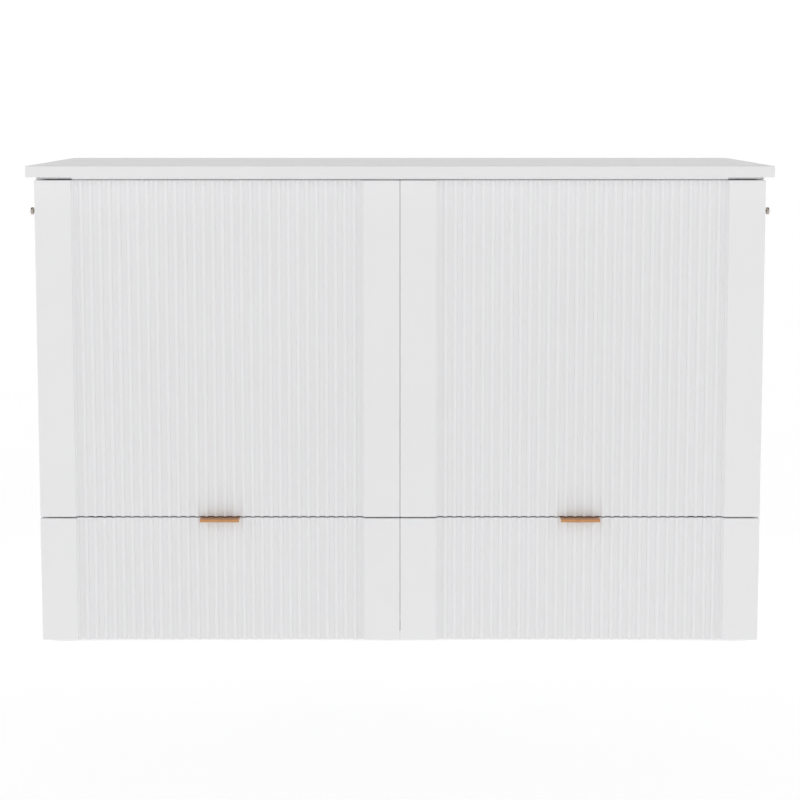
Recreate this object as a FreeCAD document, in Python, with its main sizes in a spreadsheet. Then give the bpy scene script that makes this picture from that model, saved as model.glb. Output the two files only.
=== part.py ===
import FreeCAD, Part
import math
import os
import re
import Sketcher

# Cabinet bed: a low white chest with fluted fronts, whose front unfolds into the outer part of a bed.
#
# Row frame, millimetres: +X to the right, +Y to the back, +Z up, origin on the floor under the middle.
# Depths are given as u, which runs back from the face of the front frames' stiles.
#
# The front of the chest is two hinged panels folded together: the fluted front panel, which shows, and a
# slatted platform behind it. The platform's foot is hinged to the cabinet, the two heads are hinged together,
# and the front panel's foot is hinged to the drawer. All these hinge lines lie in one plane, the fold.
# When the drawer rolls out, both panels come down flat, level with the slats inside the cabinet.

doc = FreeCAD.newDocument("cabinet_bed")
sheet = doc.addObject("Spreadsheet::Sheet", "sizes")

SIZES = {
    # cabinet
    "front_width": 1600,        # width of the fronts, and of the cabinet over its side panels
    "carcass_depth": 560,       # front to back of a side panel
    "side_thick": 18,
    "rail_thick": 22,
    "edge_round": 1.2,          # easing of a board's edges
    "side_clear": 8,            # between a side panel and what moves beside it
    "glide_height": 6,
    "glide_radius": 8,
    "glide_inset": 40,
    "bumper_height": 2,
    "bumper_radius": 5,
    "back_thick": 9,
    "back_floor_gap": 30,
    "back_strip_width": 40,
    "back_strip_thick": 2,
    "rear_rail_height": 82,
    "anchor_spacing": 812.8,    # holes for wall screws, two stud spacings apart
    "anchor_radius": 3.5,
    "anchor_drop": 18,          # below the rail's upper edge, clear of the folded mattress
    # lid
    "lid_gap": 7,               # front panel's head to the lid
    "lid_thick": 25,
    "lid_side_reach": 15,       # how far the lid stands past the side panels
    "lid_front_reach": 20,      # and past the faces of the fronts
    "batten_inset": 98,         # lid's end to the end of the strip under its front edge
    "batten_height": 5,
    "batten_width": 14,
    "batten_setback": 18,
    "batten_back_width": 10,    # wider strip behind it, that closes the gap over the stiles
    "batten_back_inset": 10,    # cabinet's side to its end
    "lid_barrel": 3,
    "lid_axis_drop": 1,         # lid's hinge line below its lower face
    "lid_leaf_height": 22,
    # fronts
    "front_thick": 22,
    "front_gap": 1,             # fronts to side panels
    "drawer_foot": 8,           # drawer front's lower edge above the floor
    "drawer_face": 277,
    "face_gap": 3.2,            # drawer front to front panel
    "panel_face": 748.3,         # height of the front panel
    "stile_width": 80,
    "centre_gap": 0.8,          # between the two middle stiles
    "flute_count": 30,
    "flute_radius": 4.7,
    "flute_setback": 9.4,       # ground between the flutes, behind the stiles' faces
    "backing_thick": 12,
    # hinges of the fold
    "axis_drop": 0.2,           # lower hinge line below the front panel's foot
    "axis_rise": 0.5,           # upper hinge line above its head
    "barrel": 2.5,
    "barrel_clear": 0.5,
    "leaf_thick": 2,
    "leaf_height": 35,
    "leaf_width": 54,
    "leaf_play": 0.4,           # between two leaves folded together
    "knuckle_play": 0.4,
    "pin_radius": 1.2,
    "pin_clear": 0.06,
    "link_inset": 135,          # fronts' end to the middle of a hinge on the drawer
    "link_leaf_front": 12,
    "saddle_play": 0.15,
    # platform and slats
    "slat_thick": 12,
    "slat_ease": 2,
    "platform_rail": 40,        # width of the platform's rails
    "platform_slat": 62,
    "platform_slat_count": 8,
    "deck_slat_count": 5,
    "deck_slat_gap": 20,
    "deck_overlap": 3.9,        # last slat's hold on the rear rail
    "deck_rail_foot": 228,
    # support legs under the platform
    "leg_drop": 18,             # platform's head rail to the legs' pivots
    "leg_gap": 2,               # between a leg and the faces of the rails it hangs between
    "leg_clear": 44.3,          # platform's middle rail to the feet
    "leg_outer_inset": 200,     # fronts' end to the outer post of a leg frame
    "leg_inner_post": 150,
    "leg_floor_gap": 0.5,
    "leg_foot_height": 8,
    "pivot_radius": 4,
    "pivot_clear": 0.08,
    "bracket_thick": 3,
    "bracket_drop": 9,
    # drawer
    "drawer_rear_gap": 30,      # how much shorter the drawer is than a side panel
    "drawer_wall": 15,
    "drawer_bottom_thick": 9,
    "drawer_rise": 46,
    "drawer_wall_height": 169,
    "wheel_radius": 20,
    "wheel_width": 18,
    "wheel_ease": 2,
    "wheel_inset": 70,          # drawer's side to the middle of a wheel
    "wheel_setback": 70,        # drawer's front and back to the axles
    "axle_radius": 3,
    "cheek_thick": 2,
    "cheek_width": 26,
    "cheek_drop": 8,            # bracket's lower edge below the axle
    "cheek_clear": 1,
    # edge pulls
    "pull_width": 87,
    "pull_reach": 18,           # past the faces of the stiles
    "pull_hold": 0.4,           # its seat's reach over the backing board
    "pull_thick": 1.6,
    "pull_drop": 6.4,
    # lock knobs
    "knob_drop": 69.5,          # front panel's head to a knob
    "knob_radius": 8.3,
    "knob_length": 7.6,
    "knob_ease": 3,
    "knob_travel": 7.5,
    "knob_end_play": 0.5,
    "collar_radius": 8,
    "collar_thick": 2,
    "shank_radius": 3,
    "shank_clear": 0.4,
    "shank_rest": 3,            # tip of the withdrawn bolt to the platform
    "keeper_thick": 1.5,
    "keeper_height": 30,
    "keeper_width": 18,
    "keeper_bore_depth": 12,
    # folded mattress
    "mattress_side_gap": 20,
    "mattress_head_gap": 39.3,  # to the lid
    "mattress_front_gap": 18.2,
    "mattress_gap": 1.2,
    "mattress_round": 18,
    "mattress_rear_gap": 18,
    "strap_width": 40,
    "strap_thick": 2,
    "strap_clear": 0.5,
    "strap_spot": 390,          # middle of the cabinet to a strap
    "buckle_width": 52,
    "buckle_height": 38,
    "buckle_thick": 6,
    "buckle_height_up": 420,
}

# Places worked out from the sizes.
DERIVED = {
    "carcass_u": "front_thick + front_gap",
    "rear_u": "carcass_u + carcass_depth",
    "lid_axis_u": "rear_u + lid_barrel + 0.5",
    "overall_depth": "lid_front_reach + lid_axis_u + lid_barrel",
    "face_y": "lid_front_reach - overall_depth / 2",
    "half_width": "front_width / 2",
    "inside_half": "half_width - side_thick",
    "moving_half": "inside_half - side_clear",
    "drawer_head": "drawer_foot + drawer_face",
    "panel_foot": "drawer_head + face_gap",
    "panel_head": "panel_foot + panel_face",
    "lid_foot": "panel_head + lid_gap",
    "lid_axis_z": "lid_foot - lid_axis_drop",
    "carcass_head": "lid_foot - bumper_height",
    "rear_rail_foot": "carcass_head - rear_rail_height",
    "back_height": "rear_rail_foot - 1 - back_floor_gap",
    "backing_u": "front_thick",
    "fold_front_u": "front_thick + backing_thick",
    "fold_u": "fold_front_u + leaf_thick + leaf_play / 2",
    "fold_back_u": "fold_u + leaf_play / 2",
    "platform_u": "fold_back_u + leaf_thick",
    "platform_thick": "fold_u - leaf_thick - leaf_play / 2",
    "platform_rail_thick": "platform_thick - slat_thick",
    "low_axis": "panel_foot - axis_drop",
    "high_axis": "panel_head + axis_rise",
    "axis_clear": "barrel + barrel_clear",
    "inner_foot": "low_axis + axis_clear",
    "inner_length": "high_axis - low_axis - 2 * axis_clear",
    "inner_head": "inner_foot + inner_length",
    "bed_level": "low_axis + fold_u",
    "deck_top": "bed_level - slat_thick",
    "deck_rail_head": "low_axis - axis_clear",
    "deck_u": "platform_u + platform_thick + axis_clear + barrel_clear",
    "rear_deck_u": "rear_u - back_thick - rail_thick",
    "deck_span": "rear_deck_u + deck_overlap - deck_u",
    "deck_slat": "(deck_span - (deck_slat_count - 1) * deck_slat_gap) / deck_slat_count",
    "flute_width": "half_width - 2 * stile_width",
    "ground_thick": "front_thick - flute_setback",
    "pull_seat": "ground_thick + pull_hold",
    "leg_side": "platform_rail_thick - 2 * leg_gap",
    "leg_u": "platform_u + platform_rail_thick / 2",
    "leg_z": "inner_head - platform_rail - leg_drop",
    "leg_length": "low_axis + leg_u - fold_u - leg_floor_gap",
    "middle_rail_rise": "leg_z - leg_length - leg_clear - platform_rail - inner_foot",
    "drawer_depth": "carcass_depth - drawer_rear_gap",
    "knob_u": "platform_u + platform_rail_thick / 2",
    "knob_height": "panel_head - knob_drop",
    "shank_tip": "moving_half + shank_rest",
    "knob_x": "half_width + collar_thick + knob_travel + knob_end_play",
    "mattress_width": "2 * (inside_half - mattress_side_gap)",
    "mattress_u": "platform_u + platform_thick + mattress_front_gap",
    "mattress_stack": "rear_u - rail_thick - mattress_rear_gap - mattress_u",
    "mattress_thick": "(mattress_stack - 2 * mattress_gap) / 3",
    "mattress_foot": "bed_level + strap_thick + 2 * strap_clear",
    "mattress_length": "lid_foot - mattress_head_gap - mattress_foot",
}

for row, (alias, value) in enumerate(SIZES.items(), start=1):
    sheet.set(f"A{row}", alias)
    sheet.set(f"B{row}", str(value))
    sheet.setAlias(f"B{row}", alias)
doc.recompute()

PARTS = []
SIDES = (("left", -1), ("right", 1))


def worked(text):
    """An expression in the sheet's names, from one that also uses the names of DERIVED."""
    def swap(found):
        name = found.group(0)
        if name in DERIVED:
            return "(" + worked(DERIVED[name]) + ")"
        return "sizes." + name if name in SIZES else name
    return re.sub(r"[a-z_][a-z_0-9]*", swap, str(text))


def bind(thing, **properties):
    """Binds properties of an object to expressions."""
    for name, text in properties.items():
        thing.setExpression(name, worked(text))
    return thing


def place(thing, x, u, z, turn=None):
    """Puts an object's own origin at x, at u behind the stiles' faces and at height z."""
    if turn:
        thing.Placement = FreeCAD.Placement(FreeCAD.Vector(), FreeCAD.Rotation(*turn))
    for axis, text in (("x", x), ("y", f"face_y + {u}"), ("z", z)):
        thing.setExpression("Placement.Base." + axis, worked(text))
    return thing


def keep(thing, label):
    """Gives a finished sub-part the name of its file."""
    thing.Label = label
    PARTS.append(thing)
    return thing


def low_x(way, near, far):
    """x of the low corner of a piece that reaches from near to far on one side of the middle plane."""
    return near if way > 0 else f"-({far})"


def sketch_on(body, role):
    """An empty sketch on one of a body's own origin planes."""
    plane = [feature for feature in body.Origin.OriginFeatures if feature.Role == role][0]
    drawing = body.newObject("Sketcher::SketchObject", body.Name + "_sketch")
    drawing.AttachmentSupport = [(plane, "")]
    drawing.MapMode = "FlatFace"
    return drawing


def tied(drawing, kind, name, text, *where):
    """A dimension of a sketch, tied to an expression."""
    drawing.renameConstraint(drawing.addConstraint(Sketcher.Constraint(kind, *where)), name)
    drawing.setExpression("Constraints." + name, worked(text))


def outline(drawing, corners):
    """A closed outline through corners, each a pair of expressions from the sketch's origin."""
    count = len(corners)
    # the lines start between points on a circle, and the dimensions then move them to their places
    turns = [2 * math.pi * n / count - 2.6 for n in range(count)]
    start = [FreeCAD.Vector(100 * math.cos(turn), 100 * math.sin(turn), 0) for turn in turns]
    for n in range(count):
        drawing.addGeometry(Part.LineSegment(start[n], start[(n + 1) % count]))
    for n in range(count):
        drawing.addConstraint(Sketcher.Constraint("Coincident", n, 2, (n + 1) % count, 1))
    for n, (across, along) in enumerate(corners):
        tied(drawing, "DistanceX", f"across{n}", across, -1, 1, n, 1, start[n].x)
        tied(drawing, "DistanceY", f"along{n}", along, -1, 1, n, 1, start[n].y)


def padded(name, role, corners, length, ease=None, only_along=None):
    """A body whose outline is padded to a length. Its edges are eased, or only those along one direction."""
    body = doc.addObject("PartDesign::Body", name)
    drawing = sketch_on(body, role)
    outline(drawing, corners)
    pad = body.newObject("PartDesign::Pad", name + "_pad")
    pad.Profile = drawing
    bind(pad, Length=length)
    doc.recompute()
    if ease:
        edges = pad.Shape.Edges
        if only_along:
            wanted = [abs(edge.tangentAt(edge.FirstParameter).dot(only_along)) > 0.99 for edge in edges]
        else:
            wanted = [True] * len(edges)
        rounding = body.newObject("PartDesign::Fillet", name + "_easing")
        rounding.Base = (pad, [f"Edge{n}" for n, use in enumerate(wanted, start=1) if use])
        bind(rounding, Radius=ease)
    return body


def board(name, wide, deep, tall, ease="edge_round"):
    """A board with its low corner at its own origin."""
    return padded(name, "XY_Plane", [(0, 0), (wide, 0), (wide, deep), (0, deep)], tall, ease)


def turned(name, radius, length, ease):
    """A turned piece along X with rounded ends."""
    body = doc.addObject("PartDesign::Body", name)
    drawing = sketch_on(body, "YZ_Plane")
    drawing.addGeometry(Part.Circle(FreeCAD.Vector(), FreeCAD.Vector(0, 0, 1), 5))
    drawing.addConstraint(Sketcher.Constraint("Coincident", 0, 3, -1, 1))
    tied(drawing, "Radius", "size", radius, 0, 5)
    pad = body.newObject("PartDesign::Pad", name + "_pad")
    pad.Profile = drawing
    bind(pad, Length=length)
    doc.recompute()
    rounding = body.newObject("PartDesign::Fillet", name + "_easing")
    rounding.Base = (pad, [f"Edge{n}" for n, edge in enumerate(pad.Shape.Edges, start=1) if edge.Closed])
    bind(rounding, Radius=ease)
    return body


def block(wide, deep, tall):
    return bind(doc.addObject("Part::Box", "block"), Length=wide, Width=deep, Height=tall)


def rod(radius, length):
    return bind(doc.addObject("Part::Cylinder", "rod"), Radius=radius, Height=length)


ALONG_X = (FreeCAD.Vector(0, 1, 0), 90)
ALONG_Y = (FreeCAD.Vector(1, 0, 0), -90)


def joined(pieces):
    """Pieces fused into one solid."""
    whole = doc.addObject("Part::MultiFuse", "joined")
    whole.Shapes = pieces
    return whole


def group(pieces):
    """Separate solids that share a node."""
    whole = doc.addObject("Part::Compound", "group")
    whole.Links = pieces
    return whole


def cut(base, tools):
    """Base with each of the tools cut out of it."""
    for tool in tools:
        cutting = doc.addObject("Part::Cut", "cutting")
        cutting.Base = base
        cutting.Tool = tool
        base = cutting
    return base


def hinge_half(middle, axis, leaf, knuckles, pinned, barrel="barrel"):
    """Half of a five-knuckle butt hinge along X.

    axis is the hinge line's u and z, leaf is its plate's low u, low z and height, and knuckles are the ones
    this half has. The plate is notched round the other half's, and one half of each hinge holds the pin.
    """
    start = f"{middle} - leaf_width / 2"
    pieces = [place(block("leaf_width", "leaf_thick", leaf[2]), start, leaf[0], leaf[1])]
    notches = []
    for n in range(5):
        here = f"{start} + {n} * leaf_width / 5"
        if n in knuckles:
            knuckle = rod(barrel, "leaf_width / 5 - knuckle_play")
            pieces.append(place(knuckle, f"{here} + knuckle_play / 2", *axis, ALONG_X))
        else:
            notch = rod(f"{barrel} + knuckle_play", "leaf_width / 5 + knuckle_play")
            notches.append(place(notch, f"{here} - knuckle_play / 2", *axis, ALONG_X))
    half = cut(joined(pieces), notches)
    if pinned:
        return joined([half, place(rod("pin_radius", "leaf_width"), start, *axis, ALONG_X)])
    bore = rod("pin_radius + pin_clear", "leaf_width + 2")
    return cut(half, [place(bore, f"{start} - 1", *axis, ALONG_X)])


OUTER_KNUCKLES = (0, 2, 4)
INNER_KNUCKLES = (1, 3)
LOW_LINE = ("fold_u", "low_axis")
HIGH_LINE = ("fold_u", "high_axis")
LID_LINE = ("lid_axis_u", "lid_axis_z")

# ---- Cabinet: side panels, bored for the lock bolts, a rear top rail, two back panels and a joint strip

for side, way in SIDES:
    panel = board("side_" + side, "side_thick", "carcass_depth", "carcass_head - glide_height")
    place(panel, low_x(way, "inside_half", "half_width"), "carcass_u", "glide_height")
    bore = rod("shank_radius + shank_clear", "side_thick + 2")
    place(bore, low_x(way, "inside_half - 1", "half_width + 1"), "knob_u", "knob_height", ALONG_X)
    keep(cut(panel, [bore]), "side_panel_" + side)

rear_rail = board("rear_rail", "2 * inside_half", "rail_thick", "rear_rail_height")
place(rear_rail, "-inside_half", "rear_u - rail_thick", "rear_rail_foot")
anchors = []
for _, way in SIDES:
    anchor = rod("anchor_radius", "rail_thick + 2")
    anchors.append(place(anchor, f"{way} * anchor_spacing / 2", "rear_u - rail_thick - 1",
                         "carcass_head - anchor_drop", ALONG_Y))
keep(cut(rear_rail, anchors), "rear_top_rail")

for side, way in SIDES:
    back = board("back_" + side, "inside_half - 1", "back_thick", "back_height")
    place(back, low_x(way, "1", "inside_half"), "rear_u - back_thick", "back_floor_gap")
    keep(back, "back_panel_" + side)
strip = board("joint_strip", "back_strip_width", "back_strip_thick", "back_height", "back_strip_thick / 4")
keep(place(strip, "-back_strip_width / 2", "rear_u", "back_floor_gap"), "back_joint_strip")

glides = []
bumpers = []
for _, way in SIDES:
    for u in ("carcass_u + glide_inset", "rear_u - glide_inset"):
        middle = f"{way} * (half_width - side_thick / 2)"
        glides.append(place(rod("glide_radius", "glide_height"), middle, u, 0))
        bumpers.append(place(rod("bumper_radius", "bumper_height"), middle, u, "carcass_head"))
keep(group(glides), "foot_glides")
keep(group(bumpers), "lid_bumpers")

# ---- Slatted deck in the cabinet: two cross rails, three bearers that clear the platform's foot, slats

deck_front = board("deck_front", "2 * inside_half", "rail_thick", "deck_rail_head - deck_rail_foot")
keep(place(deck_front, "-inside_half", "platform_u", "deck_rail_foot"), "deck_rail_front")
deck_rear = board("deck_rear", "2 * inside_half", "rail_thick", "deck_top - deck_rail_foot")
keep(place(deck_rear, "-inside_half", "rear_deck_u", "deck_rail_foot"), "deck_rail_rear")

bearer_u = "platform_u + rail_thick"
bearer_end = f"rear_deck_u - ({bearer_u})"
bearer_step = f"deck_u - ({bearer_u})"
bearer_outline = [(0, 0), (bearer_end, 0), (bearer_end, "deck_top - deck_rail_foot"),
                  (bearer_step, "deck_top - deck_rail_foot"),
                  (bearer_step, "deck_rail_head - deck_rail_foot"), (0, "deck_rail_head - deck_rail_foot")]
bearers = []
for n, x in enumerate(("-inside_half", "-rail_thick / 2", "inside_half - rail_thick")):
    bearer = padded(f"bearer_{n}", "YZ_Plane", bearer_outline, "rail_thick", "edge_round")
    bearers.append(place(bearer, x, bearer_u, "deck_rail_foot"))
keep(group(bearers), "deck_bearers")

slats = []
for n in range(SIZES["deck_slat_count"]):
    slat = board(f"deck_slat_{n}", "2 * inside_half - 4", "deck_slat", "slat_thick", "slat_ease")
    slats.append(place(slat, "2 - inside_half", f"deck_u + {n} * (deck_slat + deck_slat_gap)", "deck_top"))
keep(group(slats), "deck_slats")

# ---- Lid on four hinges behind it, with a thin stepped batten under its front edge

lid = board("lid", "front_width + 2 * lid_side_reach", "lid_front_reach + rear_u", "lid_thick")
keep(place(lid, "-half_width - lid_side_reach", "-lid_front_reach", "lid_foot"), "lid_board")
batten_half = "(half_width + lid_side_reach - batten_inset)"
batten = board("batten", f"2 * {batten_half}", "batten_width + 1", "batten_height")
place(batten, f"-{batten_half}", "batten_setback - lid_front_reach", "lid_foot - batten_height")
behind = board("batten_back", "2 * (half_width - batten_back_inset)", "batten_back_width", "batten_height")
place(behind, "batten_back_inset - half_width", "batten_setback + batten_width - lid_front_reach",
      "lid_foot - batten_height")
keep(joined([batten, behind]), "lid_front_batten")

lid_fixed = []
lid_moving = []
for share in (-0.75, -0.25, 0.25, 0.75):
    middle = f"{share} * half_width"
    lid_fixed.append(hinge_half(middle, LID_LINE, ("rear_u", "lid_axis_z - leaf_height", "leaf_height"),
                                OUTER_KNUCKLES, True, "lid_barrel"))
    lid_moving.append(hinge_half(middle, LID_LINE, ("rear_u", "lid_axis_z", "lid_leaf_height"),
                                 INNER_KNUCKLES, False, "lid_barrel"))
keep(group(lid_fixed), "lid_hinge_fixed_leaves")
keep(group(lid_moving), "lid_hinge_moving_leaves")

# ---- Fluted fronts: each leaf has two stiles with a panel of half-round flutes between them. The flutes
# next to the stiles are half ones. The front panel has a backing board that folds against the platform,
# and the drawer front has one that carries the drawer


def fluted(name, height, recess=None):
    """A panel of upright half-round flutes, cut to its width through the middle of the end ones."""
    body = doc.addObject("PartDesign::Body", name)
    drawing = sketch_on(body, "XY_Plane")
    outline(drawing, [(0, 0), ("flute_width", 0), ("flute_width", "ground_thick"), (0, "ground_thick")])
    ground = body.newObject("PartDesign::Pad", name + "_ground")
    ground.Profile = drawing
    bind(ground, Length=height)
    circle = sketch_on(body, "XY_Plane")
    circle.addGeometry(Part.Circle(FreeCAD.Vector(), FreeCAD.Vector(0, 0, 1), 5))
    circle.addConstraint(Sketcher.Constraint("Coincident", 0, 3, -1, 1))
    tied(circle, "Radius", "size", "flute_radius", 0, 5)
    flute = body.newObject("PartDesign::Pad", name + "_flute")
    flute.Profile = circle
    bind(flute, Length=height)
    doc.recompute()
    row = body.newObject("PartDesign::LinearPattern", name + "_row")
    row.Originals = [flute]
    row.Direction = (circle, ["H_Axis"])
    bind(row, Length="flute_width", Occurrences="flute_count + 2")
    body.Tip = row
    doc.recompute()
    trimmed = doc.addObject("Part::Common", name + "_trimmed")
    trimmed.Base = body
    trimmed.Tool = place_plain(block("flute_width", "ground_thick + 2 * flute_radius", height))
    return trimmed


def place_plain(thing):
    """Moves a block forward so that it takes in the flutes."""
    thing.setExpression("Placement.Base.y", worked("-2 * flute_radius"))
    return thing


def front_leaf(prefix, side, way, foot, height, mortise):
    """The two stiles and the fluted panel of one leaf."""
    inner = board(f"{prefix}_inner_{side}", "stile_width - centre_gap / 2", "front_thick", height)
    place(inner, low_x(way, "centre_gap / 2", "stile_width"), "0", foot)
    keep(inner, f"{prefix}_inner_stile_{side}")
    outer = board(f"{prefix}_outer_{side}", "stile_width", "front_thick", height)
    place(outer, low_x(way, "half_width - stile_width", "half_width"), "0", foot)
    keep(outer, f"{prefix}_outer_stile_{side}")
    panel = place(fluted(f"{prefix}_flutes_{side}", height),
                  low_x(way, "stile_width", "half_width - stile_width"), "flute_setback", foot)
    keep(cut(panel, mortise), f"{prefix}_fluted_panel_{side}")


for side, way in SIDES:
    front_leaf("front", side, way, "panel_foot", "panel_face", [])
backing = board("backing", "2 * moving_half", "backing_thick", "inner_length")
keep(place(backing, "-moving_half", "backing_u", "inner_foot"), "front_backing_board")

# Fold hinges at the head, then hinges at the foot to the cabinet and to the drawer.

fold_front = []
platform_leaves = []
for share in (-0.75, -0.25, 0.25, 0.75):
    middle = f"{share} * half_width"
    leaf_foot = "high_axis - leaf_height"
    fold_front.append(hinge_half(middle, HIGH_LINE, ("fold_front_u", leaf_foot, "leaf_height"),
                                 OUTER_KNUCKLES, True))
    platform_leaves.append(hinge_half(middle, HIGH_LINE, ("fold_back_u", leaf_foot, "leaf_height"),
                                      INNER_KNUCKLES, False))
keep(group(fold_front), "fold_hinge_front_leaves")

cabinet_leaves = []
for share in (-0.6, -0.2, 0.2, 0.6):
    middle = f"{share} * half_width"
    cabinet_leaves.append(hinge_half(middle, LOW_LINE,
                                     ("fold_back_u", "low_axis - leaf_height", "leaf_height"),
                                     OUTER_KNUCKLES, True))
    platform_leaves.append(hinge_half(middle, LOW_LINE, ("fold_back_u", "low_axis", "leaf_height"),
                                      INNER_KNUCKLES, False))
keep(group(cabinet_leaves), "platform_hinge_fixed_leaves")
keep(group(platform_leaves), "platform_hinge_leaves")

link_leaves = []
link_saddles = []
mortises = {}
for side, way in SIDES:
    middle = f"{way} * (half_width - link_inset)"
    start = f"{middle} - leaf_width / 2"
    link_leaves.append(hinge_half(middle, LOW_LINE, ("fold_front_u", "low_axis", "leaf_height"),
                                  OUTER_KNUCKLES, True))
    # the drawer's half is let into its top edge and turned down behind it, and carries the pin in open
    # saddles, cut away in front of the pin and above it
    half = hinge_half(middle, LOW_LINE, ("fold_front_u", "low_axis - leaf_height", "leaf_height"),
                      INNER_KNUCKLES, False)
    flush = block("leaf_width", "fold_front_u + leaf_thick - link_leaf_front", "leaf_thick")
    place(flush, start, "link_leaf_front", "drawer_head - leaf_thick")
    over_pin = block("leaf_width + 2", "4 * barrel", "2 * barrel")
    place(over_pin, f"{start} - 1", "fold_u - 2 * barrel", "low_axis - 0.1")
    before_pin = block("leaf_width + 2", "2 * barrel", "2 * barrel")
    place(before_pin, f"{start} - 1", "fold_u - 2 * barrel", "low_axis - pin_radius - saddle_play")
    link_saddles.append(cut(joined([half, flush]), [over_pin, before_pin]))
    mortises[side] = [place(block("leaf_width", "fold_front_u - link_leaf_front", "2 * leaf_thick"), start,
                            "link_leaf_front", "drawer_head - leaf_thick") for _ in range(2)]
keep(group(link_leaves), "drawer_link_front_leaves")
keep(group(link_saddles), "drawer_link_saddles")

for side, way in SIDES:
    front_leaf("drawer", side, way, "drawer_foot", "drawer_face", mortises[side][:1])

# ---- Drawer box on six wheels, with a pull at the top edge of each leaf

backer = board("drawer_backer", "2 * moving_half", "backing_thick", "drawer_head - drawer_rise")
place(backer, "-moving_half", "backing_u", "drawer_rise")
keep(cut(backer, [mortises[side][1] for side, _ in SIDES]), "drawer_backing_board")
walls = []
for side, way in SIDES:
    wall = board("drawer_wall_" + side, "drawer_wall", "drawer_depth", "drawer_wall_height")
    walls.append(place(wall, low_x(way, "moving_half - drawer_wall", "moving_half"), "fold_front_u",
                       "drawer_rise"))
keep(group(walls), "drawer_sides")
drawer_inside = "2 * (moving_half - drawer_wall)"
drawer_back = board("drawer_back", drawer_inside, "drawer_wall", "drawer_wall_height")
place(drawer_back, "drawer_wall - moving_half", "fold_front_u + drawer_depth - drawer_wall", "drawer_rise")
keep(drawer_back, "drawer_back")
bottom = board("drawer_floor", drawer_inside, "drawer_depth - drawer_wall", "drawer_bottom_thick")
keep(place(bottom, "drawer_wall - moving_half", "fold_front_u", "drawer_rise"), "drawer_bottom")
divider = board("drawer_divider", "drawer_wall", "drawer_depth - drawer_wall",
                "drawer_wall_height - drawer_bottom_thick")
place(divider, "-drawer_wall / 2", "fold_front_u", "drawer_rise + drawer_bottom_thick")
keep(divider, "drawer_divider")

pull_outline = [(0, 0), (0, "pull_drop"), ("pull_reach + flute_setback + pull_seat", "pull_drop"),
                ("pull_reach + flute_setback + pull_seat", "pull_drop - pull_thick"),
                ("pull_thick", "pull_drop - pull_thick"), ("pull_thick", 0)]
pulls = []
for side, way in SIDES:
    pull = padded("pull_" + side, "YZ_Plane", pull_outline, "pull_width", "pull_thick / 4")
    pulls.append(place(pull, f"{way} * half_width / 2 - pull_width / 2", "-pull_reach",
                       "drawer_head + pull_thick - pull_drop"))
keep(group(pulls), "drawer_pulls")

brackets = []
for row, u in (("front", "fold_front_u + wheel_setback"),
               ("rear", "fold_front_u + drawer_depth - wheel_setback")):
    wheels = []
    for n in (-1, 0, 1):
        middle = f"{n} * (moving_half - wheel_inset)"
        fork_half = "(wheel_width / 2 + cheek_clear + cheek_thick)"
        fork_foot = "wheel_radius - cheek_drop"
        fork = place(block(f"2 * {fork_half}", "cheek_width", f"drawer_rise - ({fork_foot})"),
                     f"{middle} - {fork_half}", f"{u} - cheek_width / 2", fork_foot)
        slot = place(block("wheel_width + 2 * cheek_clear", "cheek_width + 2",
                           f"drawer_rise - cheek_thick - ({fork_foot}) + 1"),
                     f"{middle} - wheel_width / 2 - cheek_clear", f"{u} - cheek_width / 2 - 1",
                     f"{fork_foot} - 1")
        axle = rod("axle_radius", f"2 * {fork_half}")
        place(axle, f"{middle} - {fork_half}", u, "wheel_radius", ALONG_X)
        brackets.append(joined([cut(fork, [slot]), axle]))
        wheel = turned(f"wheel_{row}_{n + 1}", "wheel_radius", "wheel_width", "wheel_ease")
        place(wheel, f"{middle} - wheel_width / 2", u, "wheel_radius")
        bore = rod("axle_radius + pivot_clear", "wheel_width + 2")
        place(bore, f"{middle} - wheel_width / 2 - 1", u, "wheel_radius", ALONG_X)
        wheels.append(cut(wheel, [bore]))
    keep(group(wheels), f"drawer_wheels_{row}")
keep(group(brackets), "wheel_brackets")

# ---- Platform behind the front panel: side rails bored for the lock bolts, cross rails, a centre rail, slats

rails = []
keepers = []
for side, way in SIDES:
    rail = board("platform_rail_" + side, "platform_rail", "platform_rail_thick", "inner_length")
    place(rail, low_x(way, "moving_half - platform_rail", "moving_half"), "platform_u", "inner_foot")
    socket = rod("shank_radius + shank_clear", "keeper_bore_depth + keeper_thick + 1")
    place(socket, low_x(way, "moving_half - keeper_bore_depth", "moving_half + keeper_thick + 1"),
          "knob_u", "knob_height", ALONG_X)
    rails.append(cut(rail, [socket]))
    plate = place(block("keeper_thick", "keeper_width", "keeper_height"),
                  low_x(way, "moving_half", "moving_half + keeper_thick"), "knob_u - keeper_width / 2",
                  "knob_height - keeper_height / 2")
    hole = rod("shank_radius + shank_clear", "keeper_thick + 2")
    place(hole, low_x(way, "moving_half - 1", "moving_half + keeper_thick + 1"), "knob_u", "knob_height",
          ALONG_X)
    keepers.append(cut(plate, [hole]))
keep(group(rails), "platform_side_rails")
keep(group(keepers), "lock_keepers")

cross_half = "moving_half - platform_rail"
cross_rails = []
for name, foot in (("foot", "inner_foot"), ("head", "inner_head - platform_rail")):
    rail = board(f"platform_{name}", f"2 * ({cross_half})", "platform_rail_thick", "platform_rail")
    cross_rails.append(place(rail, f"-({cross_half})", "platform_u", foot))
for side, way in SIDES:
    rail = board("platform_middle_" + side, f"{cross_half} - platform_rail / 2", "platform_rail_thick",
                 "platform_rail")
    cross_rails.append(place(rail, low_x(way, "platform_rail / 2", cross_half), "platform_u",
                             "inner_foot + middle_rail_rise"))
keep(group(cross_rails), "platform_cross_rails")
centre = board("platform_centre", "platform_rail", "platform_rail_thick", "inner_length - 2 * platform_rail")
keep(place(centre, "-platform_rail / 2", "platform_u", "inner_foot + platform_rail"), "platform_centre_rail")

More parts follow.
